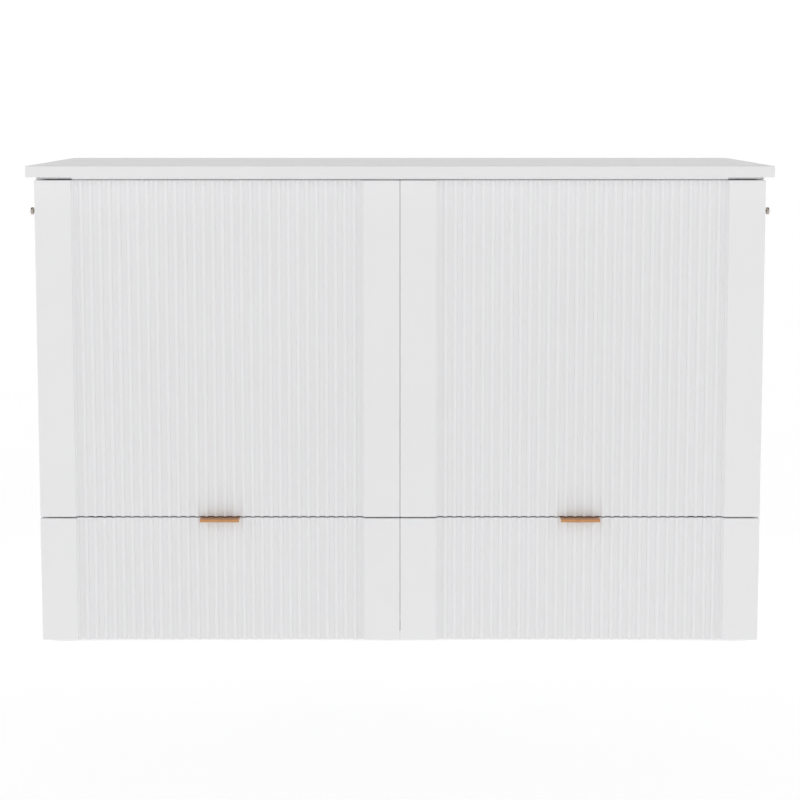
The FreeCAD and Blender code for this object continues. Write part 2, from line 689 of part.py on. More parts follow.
slats = []
slat_step = "(inner_length - platform_slat) / (platform_slat_count - 1)"
for n in range(SIZES["platform_slat_count"]):
    slat = board(f"platform_slat_{n}", "2 * moving_half", "slat_thick", "platform_slat", "slat_ease")
    slats.append(place(slat, "-moving_half", "platform_u + platform_rail_thick",
                       f"inner_foot + {n} * {slat_step}"))
keep(group(slats), "platform_slats")

# ---- Leg frames: two steel frames on pins under the platform's head rail, that hang upright at every angle

leg_brackets = []
leg_frames = []
leg_feet = []
outer_post = "half_width - leg_outer_inset"
leg_front = "(leg_u - leg_side / 2)"
for side, way in SIDES:
    pieces = []
    bores = []
    for spot in (outer_post, "leg_inner_post"):
        middle = f"{way} * ({spot})"
        cheek_half = "(leg_side / 2 + cheek_clear + bracket_thick)"
        foot = "leg_z - bracket_drop"
        top = f"inner_head - platform_rail - ({foot})"
        yoke = place(block(f"2 * {cheek_half}", "leg_side - 2", top), f"{middle} - {cheek_half}",
                     f"{leg_front} + 1", foot)
        slot = place(block("leg_side + 2 * cheek_clear", "leg_side", f"{top} - bracket_thick + 1"),
                     f"{middle} - leg_side / 2 - cheek_clear", leg_front, f"{foot} - 1")
        pin = rod("pivot_radius", f"2 * {cheek_half}")
        place(pin, f"{middle} - {cheek_half}", "leg_u", "leg_z", ALONG_X)
        leg_brackets.append(joined([cut(yoke, [slot]), pin]))
        pieces.append(place(block("leg_side", "leg_side", "leg_length - leg_foot_height"),
                            f"{middle} - leg_side / 2", leg_front, "leg_z - leg_length + leg_foot_height"))
        boss = rod("leg_side / 2", "leg_side")
        pieces.append(place(boss, f"{middle} - leg_side / 2", "leg_u", "leg_z", ALONG_X))
        bore = rod("pivot_radius + pivot_clear", "leg_side + 2")
        bores.append(place(bore, f"{middle} - leg_side / 2 - 1", "leg_u", "leg_z", ALONG_X))
        cap = board(f"leg_cap_{side}_{len(bores)}", "leg_side", "leg_side", "leg_foot_height")
        leg_feet.append(place(cap, f"{middle} - leg_side / 2", leg_front, "leg_z - leg_length"))
    pieces.append(place(block(f"{outer_post} - leg_inner_post", "leg_side", "leg_side"),
                        low_x(way, "leg_inner_post", outer_post), leg_front,
                        "leg_z - leg_length + leg_foot_height"))
    leg_frames.append(cut(joined(pieces), bores))
keep(group(leg_brackets), "leg_brackets")
keep(group(leg_frames), "leg_frames")
keep(group(leg_feet), "leg_foot_caps")

# ---- Lock knobs, drawn withdrawn: pushed in, each bolt enters the platform's side rail

collars = []
for side, way in SIDES:
    collar = rod("collar_radius", "collar_thick")
    place(collar, low_x(way, "half_width", "half_width + collar_thick"), "knob_u", "knob_height", ALONG_X)
    bore = rod("shank_radius + shank_clear", "collar_thick + 2")
    place(bore, low_x(way, "half_width - 1", "half_width + collar_thick + 1"), "knob_u", "knob_height",
          ALONG_X)
    collars.append(cut(collar, [bore]))
    head = turned("knob_" + side, "knob_radius", "knob_length", "knob_ease")
    place(head, low_x(way, "knob_x", "knob_x + knob_length"), "knob_u", "knob_height")
    shank = place(rod("shank_radius", "knob_x + 2 - (shank_tip)"), low_x(way, "shank_tip", "knob_x + 2"),
                  "knob_u", "knob_height", ALONG_X)
    keep(joined([head, shank]), "lock_knob_" + side)
keep(group(collars), "lock_collars")

# ---- Mattress folded in three on the deck, with two straps round it

for n, name in enumerate(("front", "middle", "rear")):
    section = board("mattress_" + name, "mattress_width", "mattress_thick", "mattress_length",
                    "mattress_round")
    place(section, "-mattress_width / 2", f"mattress_u + {n} * (mattress_thick + mattress_gap)",
          "mattress_foot")
    keep(section, "mattress_section_" + name)

straps = []
buckles = []
FORWARD_EDGES = FreeCAD.Vector(1, 0, 0)
for side, way in SIDES:
    middle = f"{way} * strap_spot"
    loops = []
    for name, reach, width in (("outer", "(strap_clear + strap_thick)", "strap_width"),
                               ("inner", "strap_clear", "strap_width + 2")):
        deep = f"mattress_stack + 2 * {reach}"
        tall = f"mattress_length + 2 * {reach}"
        loop = padded(f"strap_{name}_{side}", "YZ_Plane", [(0, 0), (deep, 0), (deep, tall), (0, tall)], width,
                      f"mattress_round + {reach}", FORWARD_EDGES)
        place(loop, f"{middle} - ({width}) / 2", f"mattress_u - {reach}", f"mattress_foot - {reach}")
        loops.append(loop)
    straps.append(cut(loops[0], [loops[1]]))
    buckle = board("buckle_" + side, "buckle_width", "buckle_thick", "buckle_height")
    buckles.append(place(buckle, f"{middle} - buckle_width / 2",
                         "mattress_u - strap_clear - strap_thick - buckle_thick",
                         "mattress_foot + buckle_height_up"))
keep(group(straps), "mattress_straps")
keep(group(buckles), "strap_buckles")

# ---- Check every object, then write the sub-parts

doc.recompute()
faults = [f"{thing.Label}: {thing.State}" for thing in doc.Objects if {"Invalid", "Error"} & set(thing.State)]
for thing in PARTS:
    if thing.Shape.isNull() or not thing.Shape.isValid() or not thing.Shape.Solids:
        faults.append(f"{thing.Label}: no valid solid")
if faults:
    raise SystemExit("\n".join(faults))

os.makedirs("parts", exist_ok=True)
for thing in PARTS:
    thing.Shape.exportStep(f"parts/{thing.Label}.step")
print(len(PARTS), "sub-parts written")
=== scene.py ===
import bmesh
import bpy
import math
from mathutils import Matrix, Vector
from mathutils.bvhtree import BVHTree


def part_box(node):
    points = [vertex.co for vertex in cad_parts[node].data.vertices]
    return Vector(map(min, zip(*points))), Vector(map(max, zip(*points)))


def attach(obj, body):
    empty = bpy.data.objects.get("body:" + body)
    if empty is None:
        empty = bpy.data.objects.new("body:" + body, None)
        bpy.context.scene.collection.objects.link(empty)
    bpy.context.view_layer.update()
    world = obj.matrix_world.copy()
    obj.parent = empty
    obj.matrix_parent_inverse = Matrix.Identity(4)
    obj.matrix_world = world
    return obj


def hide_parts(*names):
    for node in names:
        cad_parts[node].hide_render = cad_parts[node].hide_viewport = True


# A cabinet bed: a low white chest whose fluted front unfolds to a bed over a rolling drawer.
# The sections below follow it as it is put together, from the cabinet to the folded mattress.

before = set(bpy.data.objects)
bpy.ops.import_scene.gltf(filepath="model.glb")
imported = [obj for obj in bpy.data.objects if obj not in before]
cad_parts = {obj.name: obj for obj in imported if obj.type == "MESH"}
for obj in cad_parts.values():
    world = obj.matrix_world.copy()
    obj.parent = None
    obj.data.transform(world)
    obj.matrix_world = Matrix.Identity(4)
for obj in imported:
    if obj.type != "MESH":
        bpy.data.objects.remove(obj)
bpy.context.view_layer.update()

# ---- Cabinet shell, lid and fronts
# Medium-density fibreboard, sprayed with white lacquer and left satin. The flutes are milled in it.
# The lacquer hides all grain: it gives an even white with a soft, slightly uneven shine.


def linear(code):
    """A linear colour with alpha, from an sRGB hex value."""
    parts = [int(code[n:n + 2], 16) / 255 for n in (1, 3, 5)]
    return [c / 12.92 if c <= 0.04045 else ((c + 0.055) / 1.055) ** 2.4 for c in parts] + [1.0]


def feed(tree, node, inputs):
    """Sets a node's inputs, or links them where the value is another node's output."""
    for name, value in inputs.items():
        if isinstance(value, bpy.types.NodeSocket):
            tree.links.new(value, node.inputs[name])
        else:
            node.inputs[name].default_value = value


def add(tree, kind, inputs, **settings):
    """Adds a node with its settings and links, and returns its outputs."""
    node = tree.nodes.new("ShaderNode" + kind)
    for name, value in settings.items():
        setattr(node, name, value)
    feed(tree, node, inputs)
    return node.outputs


def finish(name):
    """A new material's tree and shader, and its own place in the row frame in metres."""
    material = bpy.data.materials.new(name)
    material.use_nodes = True
    tree = material.node_tree
    return material, tree, tree.nodes["Principled BSDF"], add(tree, "TexCoord", {})["Object"]


def coat(material, *names):
    """Gives CAD nodes a material."""
    for name in names:
        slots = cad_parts[name].data.materials
        slots.clear()
        slots.append(material)


def mixed(tree, share, low, high):
    """Colour between two hex values."""
    return add(tree, "Mix", {0: share, 6: linear(low), 7: linear(high)}, data_type="RGBA")[2]


WAVE = math.tau / 20        # turns metres between bands into a wave node's scale

lacquer, tree, shader, place = finish("white_satin_lacquer_sprayed")
PEEL = 0.0035       # metres between the crests of the sprayed coat's orange peel, drawn a little coarse
peel = add(tree, "TexNoise", {"Vector": place, "Scale": 1 / PEEL, "Detail": 2.0})["Fac"]
coat_build = add(tree, "TexNoise", {"Vector": place, "Scale": 2.5, "Detail": 3.0})["Fac"]
handled = add(tree, "TexNoise", {"Vector": place, "Scale": 14.0, "Detail": 5.0})["Fac"]
feed(tree, shader, {
    "Base Color": mixed(tree, coat_build, "#EDEDEE", "#F1F1F2"),
    "Roughness": add(tree, "MapRange", {"Value": handled, "To Min": 0.34, "To Max": 0.48})["Result"],
    "Normal": add(tree, "Bump", {"Height": peel, "Strength": 0.03, "Distance": 0.0003})["Normal"],
})
SIDES = ("left", "right")
coat(lacquer, "rear_top_rail", "lid_board", "lid_front_batten", "front_backing_board", "drawer_backing_board",
     *[f"side_panel_{side}" for side in SIDES],
     *[f"{leaf}_{part}_{side}" for leaf in ("front", "drawer") for side in SIDES
       for part in ("inner_stile", "outer_stile", "fluted_panel")])

# ---- Back panels
# Thin hardboard with a white foil on its outer face, in two halves with a moulded strip over the joint.
# The foil has a fine leathery print and is duller than the lacquer.

foil, tree, shader, place = finish("white_foil_on_hardboard_pressed")
PRINT = 0.0025      # metres between the pits of the print
print_grain = add(tree, "TexVoronoi", {"Vector": place, "Scale": 1 / PRINT}, feature="SMOOTH_F1")["Distance"]
waves = add(tree, "TexNoise", {"Vector": place, "Scale": 5.0, "Detail": 2.0})["Fac"]
feed(tree, shader, {
    "Base Color": mixed(tree, waves, "#DCDCDA", "#E2E2E0"),
    "Roughness": add(tree, "MapRange", {"Value": print_grain, "To Min": 0.5, "To Max": 0.66})["Result"],
    "Normal": add(tree, "Bump", {"Height": print_grain, "Strength": 0.12, "Distance": 0.0002})["Normal"],
})
coat(foil, "back_panel_left", "back_panel_right", "back_joint_strip")

# ---- Drawer box
# Particle board with a white melamine face. It has a faint pearl print, and its cut edges are banded.

melamine, tree, shader, place = finish("white_melamine_pressed")
PEARL = 0.004       # metres between the pearls of the print
pearl = add(tree, "TexNoise", {"Vector": place, "Scale": 1 / PEARL, "Detail": 4.0})["Fac"]
cloud = add(tree, "TexNoise", {"Vector": place, "Scale": 4.0, "Detail": 2.0})["Fac"]
feed(tree, shader, {
    "Base Color": mixed(tree, cloud, "#DEDEDB", "#E5E5E2"),
    "Roughness": add(tree, "MapRange", {"Value": pearl, "To Min": 0.42, "To Max": 0.6})["Result"],
    "Normal": add(tree, "Bump", {"Height": pearl, "Strength": 0.1, "Distance": 0.0002})["Normal"],
})
coat(melamine, "drawer_sides", "drawer_back", "drawer_bottom", "drawer_divider")

# ---- Slats, deck rails and the platform's frame
# Planed pine, unfinished. The growth rings show as long pale and amber bands with a few knots.
# Each piece is sawn along the grain, so the bands run the way that it does.

RING = 0.011        # metres between growth rings across a flat-sawn face
FIBRE = 0.0009      # metres between fibres, drawn coarser than real ones so that they show


def pine(along):
    """Planed pine with its grain along one axis of the row frame."""
    wood, tree, shader, place = finish("pine_planed_along_" + "xyz"[along])
    stretch = [1 / RING] * 3
    stretch[along] = 1.1
    fibres = [1 / FIBRE] * 3
    fibres[along] = 9.0
    lain = add(tree, "Mapping", {"Vector": place, "Scale": stretch})["Vector"]
    thread = add(tree, "Mapping", {"Vector": place, "Scale": fibres})["Vector"]
    rings = add(tree, "TexNoise", {"Vector": lain, "Scale": 1.0, "Detail": 2.5, "Distortion": 0.7})["Fac"]
    fibre = add(tree, "TexNoise", {"Vector": thread, "Scale": 1.0, "Detail": 3.0})["Fac"]
    sawn = [6.0] * 3
    sawn[along] = 2.2
    knot_place = add(tree, "Mapping", {"Vector": place, "Scale": sawn})["Vector"]
    from_knot = add(tree, "TexVoronoi", {"Vector": knot_place, "Scale": 1.0})["Distance"]
    knot = add(tree, "MapRange", {"Value": from_knot, "From Min": 0.03, "From Max": 0.09, "To Min": 1.0,
                                  "To Max": 0.0})["Result"]
    band = add(tree, "MapRange", {"Value": rings, "From Min": 0.38, "From Max": 0.64})["Result"]
    clear_wood = mixed(tree, band, "#E3C79B", "#CFA26B")
    toned = add(tree, "Mix", {0: knot, 6: clear_wood, 7: linear("#7A4B27")}, data_type="RGBA")[2]
    fibred = add(tree, "Mix", {0: 0.22, 6: toned, 7: mixed(tree, fibre, "#B9905C", "#F2DDB8")},
                 data_type="RGBA", blend_type="SOFT_LIGHT")[2]
    feed(tree, shader, {
        "Base Color": fibred,
        "Roughness": add(tree, "MapRange", {"Value": band, "To Min": 0.62, "To Max": 0.5})["Result"],
        "Normal": add(tree, "Bump", {"Height": fibre, "Strength": 0.25, "Distance": 0.0003})["Normal"],
    })
    return wood


pine_across = pine(0)
pine_deep = pine(1)
pine_upright = pine(2)
coat(pine_across, "deck_rail_front", "deck_rail_rear", "deck_slats", "platform_slats", "platform_cross_rails")
coat(pine_deep, "deck_bearers")
coat(pine_upright, "platform_side_rails", "platform_centre_rail")

# ---- Edge pulls
# Folded brass strip, brushed and plated a rose copper. Fine brush lines run along each pull, which
# softens the reflections across it.

rose_copper, tree, shader, place = finish("rose_copper_plate_brushed")
BRUSH = 0.0007      # metres between brush lines, drawn coarser than a real brush leaves them
lines = add(tree, "Mapping", {"Vector": place, "Scale": (6.0, 1 / BRUSH, 1 / BRUSH)})["Vector"]
brushed = add(tree, "TexNoise", {"Vector": lines, "Scale": 1.0, "Detail": 3.0})["Fac"]
fingered = add(tree, "TexNoise", {"Vector": place, "Scale": 60.0, "Detail": 3.0})["Fac"]
feed(tree, shader, {
    "Base Color": mixed(tree, fingered, "#BC875A", "#D3A074"),
    "Metallic": 1.0,
    "Roughness": add(tree, "MapRange", {"Value": brushed, "To Min": 0.26, "To Max": 0.42})["Result"],
    "Normal": add(tree, "Bump", {"Height": brushed, "Strength": 0.2, "Distance": 0.0001})["Normal"],
})
coat(rose_copper, "drawer_pulls")

# ---- Lock knobs and their collars
# Turned steel, polished and plated with nickel. Finger marks dull the warm mirror finish a little.

nickel, tree, shader, place = finish("nickel_plated_steel_polished")
TURNING = 0.0009    # metres between turning marks, drawn coarser than a polished knob's
touched = add(tree, "TexNoise", {"Vector": place, "Scale": 120.0, "Detail": 4.0})["Fac"]
turning = add(tree, "TexWave", {"Vector": place, "Scale": WAVE / TURNING})["Fac"]
feed(tree, shader, {
    "Base Color": mixed(tree, touched, "#A69E95", "#C2BBB1"),
    "Metallic": 1.0,
    "Roughness": add(tree, "MapRange", {"Value": touched, "To Min": 0.08, "To Max": 0.24})["Result"],
    "Normal": add(tree, "Bump", {"Height": turning, "Strength": 0.08, "Distance": 0.0001})["Normal"],
})
coat(nickel, "lock_collars", "lock_knob_left", "lock_knob_right")

# ---- Hinges and keepers, with their screws
# Pressed steel leaves with rolled knuckles, dipped to a dark bronze. The dip wears thin and mottles.
# Each leaf is held by three countersunk screws with a round drive.

bronzed, tree, shader, place = finish("bronzed_steel_dipped")
MOTTLE = 0.006      # metres across a patch of the dip
PIT = 0.0012        # metres between the pits that rolling leaves
mottle = add(tree, "TexNoise", {"Vector": place, "Scale": 1 / MOTTLE, "Detail": 5.0})["Fac"]
rolled = add(tree, "TexNoise", {"Vector": place, "Scale": 1 / PIT, "Detail": 2.0})["Fac"]
feed(tree, shader, {
    "Base Color": mixed(tree, mottle, "#463D34", "#6B5D4D"),
    "Metallic": 1.0,
    "Roughness": add(tree, "MapRange", {"Value": mottle, "To Min": 0.55, "To Max": 0.36})["Result"],
    "Normal": add(tree, "Bump", {"Height": rolled, "Strength": 0.12, "Distance": 0.0001})["Normal"],
})
coat(bronzed, "lid_hinge_fixed_leaves", "lid_hinge_moving_leaves", "platform_hinge_fixed_leaves",
     "platform_hinge_leaves", "fold_hinge_front_leaves", "drawer_link_front_leaves", "drawer_link_saddles",
     "lock_keepers")

zinc, tree, shader, place = finish("zinc_plated_steel_rolled")
SPANGLE = 0.003     # metres across a patch of the zinc
bloom = add(tree, "TexNoise", {"Vector": place, "Scale": 1 / SPANGLE, "Detail": 4.0})["Fac"]
feed(tree, shader, {
    "Base Color": mixed(tree, bloom, "#8C8B86", "#B9B8B2"),
    "Metallic": 1.0,
    "Roughness": add(tree, "MapRange", {"Value": bloom, "To Min": 0.3, "To Max": 0.45})["Result"],
})


def show(name, mesh, body, slot, *materials):
    """Adds a finished mesh as a piece that rides on a body."""
    piece = bpy.data.objects.new(name, mesh)
    bpy.context.scene.collection.objects.link(piece)
    for material in materials:
        mesh.materials.append(material)
    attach(piece, body)
    return piece


def lathe(shape, profile, centre, axis, turns=20):
    """Adds a turned piece to a mesh. The profile is its radius and its height along the axis, in metres."""
    up = Vector(axis).normalized()
    side = up.orthogonal().normalized()
    other = up.cross(side)
    rings = []
    for radius, height in profile:
        if radius == 0:
            rings.append([shape.verts.new(Vector(centre) + up * height)])
            continue
        angles = [2 * math.pi * n / turns for n in range(turns)]
        rings.append([shape.verts.new(Vector(centre) + up * height
                                      + radius * (side * math.cos(a) + other * math.sin(a))) for a in angles])
    faces = []
    for low, high in zip(rings, rings[1:]):
        for n in range(turns):
            ahead = n + 1
            corners = [low[n % len(low)], low[ahead % len(low)], high[ahead % len(high)], high[n % len(high)]]
            corners = list(dict.fromkeys(corners))
            if len(corners) > 2:
                faces.append(shape.faces.new(corners))
    return faces


def meshed(name, shape, smooth=True):
    """Turns a finished shape into a mesh with its faces outward."""
    bmesh.ops.recalc_face_normals(shape, faces=shape.faces)
    mesh = bpy.data.meshes.new(name)
    shape.to_mesh(mesh)
    shape.free()
    if smooth:
        mesh.shade_smooth()
        mesh.set_sharp_from_angle(angle=math.radians(40))
    return mesh


# head radius and height in metres: a shallow cone that stands 0.15 mm proud, with a round drive in it
SCREW = ((0.0, -0.0008), (0.0011, -0.0008), (0.0011, 0.00015), (0.0028, 0.00012), (0.0034, -0.0001))
SCREW_STEP = 0.018      # metres between the screws of a leaf
HINGES = (-0.75, -0.25, 0.25, 0.75)         # middles of the lid and head hinges, as shares of half the width
FOOT_HINGES = (-0.6, -0.2, 0.2, 0.6)        # and those at the platform's foot
half_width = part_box("front_outer_stile_right")[1].x


def leaf_screws(name, body, shares, face_y, z, outward):
    """Three screws in each leaf of a row of hinges, on the face that looks along outward, 1 or -1 in Y."""
    shape = bmesh.new()
    for share in shares:
        for step in (-1, 0, 1):
            centre = (share * half_width + step * SCREW_STEP, face_y, z)
            lathe(shape, SCREW, centre, (0, outward, 0), turns=14)
    show(name, meshed(name, shape), body, "hinge_steel", zinc)


LEAF = 0.002            # thickness of a leaf
MID_LEAF = 0.020        # screws to the hinge line
MID_LID_LEAF = 0.013    # the same on the lid, whose leaves are shorter
lid_leaf_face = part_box("lid_board")[1].y + LEAF
# heights of the pivots, each a hair off the edge of the piece that turns on it
lid_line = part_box("lid_board")[0].z - 0.001
fold_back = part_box("platform_side_rails")[0].y - LEAF
fold_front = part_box("front_backing_board")[1].y + LEAF
foot_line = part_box("front_fluted_panel_right")[0].z - 0.0002
head_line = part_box("front_fluted_panel_right")[1].z + 0.0005
leaf_screws("lid_hinge_screws_fixed", "cabinet", HINGES, lid_leaf_face, lid_line - MID_LEAF, 1)
leaf_screws("lid_hinge_screws_moving", "lid", HINGES, lid_leaf_face, lid_line + MID_LID_LEAF, 1)
leaf_screws("platform_hinge_screws_fixed", "cabinet", FOOT_HINGES, fold_back, foot_line - MID_LEAF, -1)
leaf_screws("platform_hinge_screws_foot", "platform", FOOT_HINGES, fold_back, foot_line + MID_LEAF, -1)
leaf_screws("platform_hinge_screws_head", "platform", HINGES, fold_back, head_line - MID_LEAF, -1)
leaf_screws("fold_hinge_screws_front", "front_panel", HINGES, fold_front, head_line - MID_LEAF, 1)

# ---- Leg frames with their brackets, and the wheels' forks
# Square steel tube and folded plate, powder coated black. The baked powder has a fine even pimple.

powder, tree, shader, place = finish("black_powder_coated_steel")
PIMPLE = 0.0014     # metres between the pimples of the baked powder
pimple = add(tree, "TexNoise", {"Vector": place, "Scale": 1 / PIMPLE, "Detail": 2.0})["Fac"]
scuff = add(tree, "TexNoise", {"Vector": place, "Scale": 30.0, "Detail": 6.0})["Fac"]
feed(tree, shader, {
    "Base Color": mixed(tree, scuff, "#151515", "#222221"),
    "Roughness": add(tree, "MapRange", {"Value": scuff, "To Min": 0.42, "To Max": 0.62})["Result"],
    "Normal": add(tree, "Bump", {"Height": pimple, "Strength": 0.3, "Distance": 0.0002})["Normal"],
})
coat(powder, "leg_frames", "leg_brackets", "wheel_brackets")

# ---- Caps, bumpers and glides
# Moulded rubber caps on the legs, moulded rubber bumpers under the lid, and hard nylon glides.
# Moulded rubber is dull and slightly dusty. Nylon is a little shinier and paler.


SPARK = 0.001       # metres between the pits that a spark-cut mould leaves


def moulded(name, dark, light, smooth, rough):
    """A moulded material, mottled between two tones."""
    material, tree, shader, place = finish(name)
    dust = add(tree, "TexNoise", {"Vector": place, "Scale": 90.0, "Detail": 6.0})["Fac"]
    grain = add(tree, "TexNoise", {"Vector": place, "Scale": 1 / SPARK, "Detail": 2.0})["Fac"]
    feed(tree, shader, {
        "Base Color": mixed(tree, dust, dark, light),
        "Roughness": add(tree, "MapRange", {"Value": dust, "To Min": smooth, "To Max": rough})["Result"],
        "Normal": add(tree, "Bump", {"Height": grain, "Strength": 0.2, "Distance": 0.0002})["Normal"],
    })
    return material


cap_rubber = moulded("black_rubber_moulded", "#1A1A1A", "#2A2A29", 0.62, 0.82)
nylon = moulded("grey_nylon_moulded", "#6E6C67", "#807E78", 0.35, 0.5)
coat(cap_rubber, "leg_foot_caps", "lid_bumpers")
coat(nylon, "foot_glides")

# ---- Drawer wheels
# A grey nylon core with a web and a boss, and a soft black tyre moulded round it with a shallow groove.

# one half of a wheel: radius, and distance from its middle plane, in metres
CORE = ((0.0031, -0.0088), (0.0062, -0.0088), (0.0068, -0.0082), (0.0072, -0.0052), (0.0128, -0.0044),
        (0.0134, -0.0074), (0.0148, -0.0080))
TYRE = ((0.0148, -0.0086), (0.0180, -0.0086), (0.0192, -0.0078), (0.0198, -0.0060), (0.0199, -0.0014),
        (0.0192, -0.0008), (0.0192, 0.0))
HALF_WHEEL = 0.009      # half the width of a wheel's space
for row in ("front", "rear"):
    low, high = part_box("drawer_wheels_" + row)
    radius = high.z / 2
    shape = bmesh.new()
    for x in (low.x + HALF_WHEEL, 0.0, high.x - HALF_WHEEL):
        centre = (x, (low.y + high.y) / 2, radius)
        for way in (1, -1):
            lathe(shape, CORE, centre, (way, 0, 0), turns=48)
            for face in lathe(shape, TYRE, centre, (way, 0, 0), turns=48):
                face.material_index = 1
    bmesh.ops.remove_doubles(shape, verts=shape.verts, dist=1e-5)
    name = f"{row}_wheels_turned"
    wheels = show(name, meshed(name, shape), "wheels_" + row, "wheel_rubber", nylon, cap_rubber)
    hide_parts("drawer_wheels_" + row)

# ---- Mattress
# Three blocks of foam in one quilted knit cover, folded in three and stood on the deck. Each block crowns
# a little where nothing presses on it, the straps pull its faces in, and a taped edge runs round its faces.

cover, tree, shader, place = finish("ivory_knit_cover_quilted")
TWILL = 0.0016      # metres between the ribs of the edge tape
STITCH = 0.0022     # metres between the knit's ribs, drawn coarser than the real 1 mm so that they show
ribs = add(tree, "TexWave", {"Vector": place, "Scale": WAVE / STITCH, "Distortion": 1.5,
                             "Detail": 2.0, "Detail Scale": 2.0}, bands_direction="X")["Fac"]
courses = add(tree, "TexWave", {"Vector": place, "Scale": WAVE / STITCH, "Distortion": 1.5,
                                "Detail": 2.0, "Detail Scale": 2.0}, bands_direction="Z")["Fac"]
knit = add(tree, "Math", {0: ribs, 1: courses}, operation="MULTIPLY")["Value"]
slub = add(tree, "TexNoise", {"Vector": place, "Scale": 35.0, "Detail": 5.0})["Fac"]
knitted = mixed(tree, knit, "#D5D3CC", "#EFEDE7")
feed(tree, shader, {
    "Base Color": add(tree, "Mix", {0: 0.25, 6: knitted, 7: mixed(tree, slub, "#B9B6AD", "#FFFFFF")},
                      data_type="RGBA", blend_type="SOFT_LIGHT")[2],
    "Roughness": add(tree, "MapRange", {"Value": slub, "To Min": 0.78, "To Max": 0.92})["Result"],
    "Sheen Weight": 0.3,
    "Normal": add(tree, "Bump", {"Height": knit, "Strength": 0.35, "Distance": 0.0006})["Normal"],
})
tape, tree, shader, place = finish("grey_woven_edge_tape")
twill_lean = add(tree, "Mapping", {"Vector": place, "Rotation": (0.0, math.radians(45), 0.0)})["Vector"]
twill = add(tree, "TexWave", {"Vector": twill_lean, "Scale": WAVE / TWILL})["Fac"]
feed(tree, shader, {
    "Base Color": mixed(tree, twill, "#A9A69E", "#CFCCC4"),
    "Roughness": 0.85,
    "Sheen Weight": 0.2,
    "Normal": add(tree, "Bump", {"Height": twill, "Strength": 0.5, "Distance": 0.0005})["Normal"],
})

START_IN = 0.006        # the sewn cover starts this far inside its space, and the foam fills it
VOXEL = 0.014           # size of the even faces that the cover is cut into
PRESSURE = 4.0          # of the foam on the cover
STEPS = 20              # of the run in which the foam fills the cover
SWELL = 0.009           # furthest that the foam moves the cover
EDGE_ROUND = 0.030
STRAP_X = 0.390         # middle of the cabinet to a strap
CROWN = 0.008           # how far the middle of a free face stands out
CROWN_RUN = 0.090       # from an edge to where the crown and the quilting are full
TOP_CROWN = 0.003       # how far the top may stand out between the straps
SIDE_CROWN = 0.002      # and the two ends
FREE_IN = 0.0004        # a free face is pulled in this far before it crowns, so that the straps lie on it
SKIN = 0.0002           # room left under the straps and over the deck
PULL_FACE = 0.045       # half width of the hollow that a strap pulls in a face
PULL_TOP = 0.035        # and in the top
FACE_REACH = 0.028      # points this near a face move with it
QUILT = 0.190           # across one diamond of the quilting
CHANNEL = 0.011         # half width of the dip along a quilting seam
SEAM_DEPTH = 0.006
PIPE = 0.0032           # radius of the taped edge
TAPE_CORE = 0.050       # the tape is found by looking out from a line this far inside the block's edges
TAPE_REACH = 0.120      # past the cover from that line
TAPE_STEP = 0.050       # between points of the tape along a straight edge
CORNER_STEPS = 7
CORNERS = ((1, 1), (-1, 1), (-1, -1), (1, -1))      # signs of x and z, in order round a face


def foam_block(name, low, high):
    """A rounded block a little smaller than its space, in even faces."""
    shape = bmesh.new()
    bmesh.ops.create_cube(shape, size=1.0)
    middle, size = (low + high) / 2, high - low - Vector((2 * START_IN,) * 3)
    for vertex in shape.verts:
        vertex.co = middle + Vector([vertex.co[n] * size[n] for n in range(3)])
    bmesh.ops.bevel(shape, geom=shape.edges[:], offset=EDGE_ROUND, segments=4, profile=0.5, affect="EDGES")
    mesh = bpy.data.meshes.new(name)
    shape.to_mesh(mesh)
    shape.free()
    block = bpy.data.objects.new(name, mesh)
    bpy.context.scene.collection.objects.link(block)
    return block


def applied(block, kind, **settings):
    """Adds a modifier to a block and applies it."""
    modifier = block.modifiers.new(kind.lower(), kind)
    for name, value in settings.items():
        setattr(modifier, name, value)
    graph = bpy.context.evaluated_depsgraph_get()
    mesh = bpy.data.meshes.new_from_object(block.evaluated_get(graph))
    block.modifiers.clear()
    block.data = mesh


def inflated(block):
    """Lets the foam fill the cover, with no point moving further than SWELL."""
    rest = [vertex.co.copy() for vertex in block.data.vertices]
    cloth = block.modifiers.new("cover", "CLOTH")
    cloth.settings.use_pressure = True
    cloth.settings.uniform_pressure_force = PRESSURE
    cloth.settings.effector_weights.gravity = 0.0
    cloth.settings.quality = 4
    cloth.point_cache.frame_start = 1
    cloth.point_cache.frame_end = STEPS
    for number in range(1, STEPS + 1):
        bpy.context.scene.frame_set(number)
    graph = bpy.context.evaluated_depsgraph_get()
    mesh = bpy.data.meshes.new_from_object(block.evaluated_get(graph))
    block.modifiers.clear()
    block.data = mesh
    for vertex, start in zip(mesh.vertices, rest):
        move = vertex.co - start
        if move.length > SWELL:
            vertex.co = start + move * (SWELL / move.length)
    bpy.context.scene.frame_set(1)


def dip(x, z):
    """How near a point on a face is to a quilting seam, from 0 to 1. The seams cross in diamonds."""
    nearest = min(abs((x + way * z) % QUILT - QUILT / 2) for way in (1, -1))
    return math.exp(-(nearest / CHANNEL) ** 2)


def ledge(value, low, high, reach):
    """1 well inside low to high, falling to 0 at either end."""
    return max(0.0, min(1.0, (value - low) / reach, (high - value) / reach))


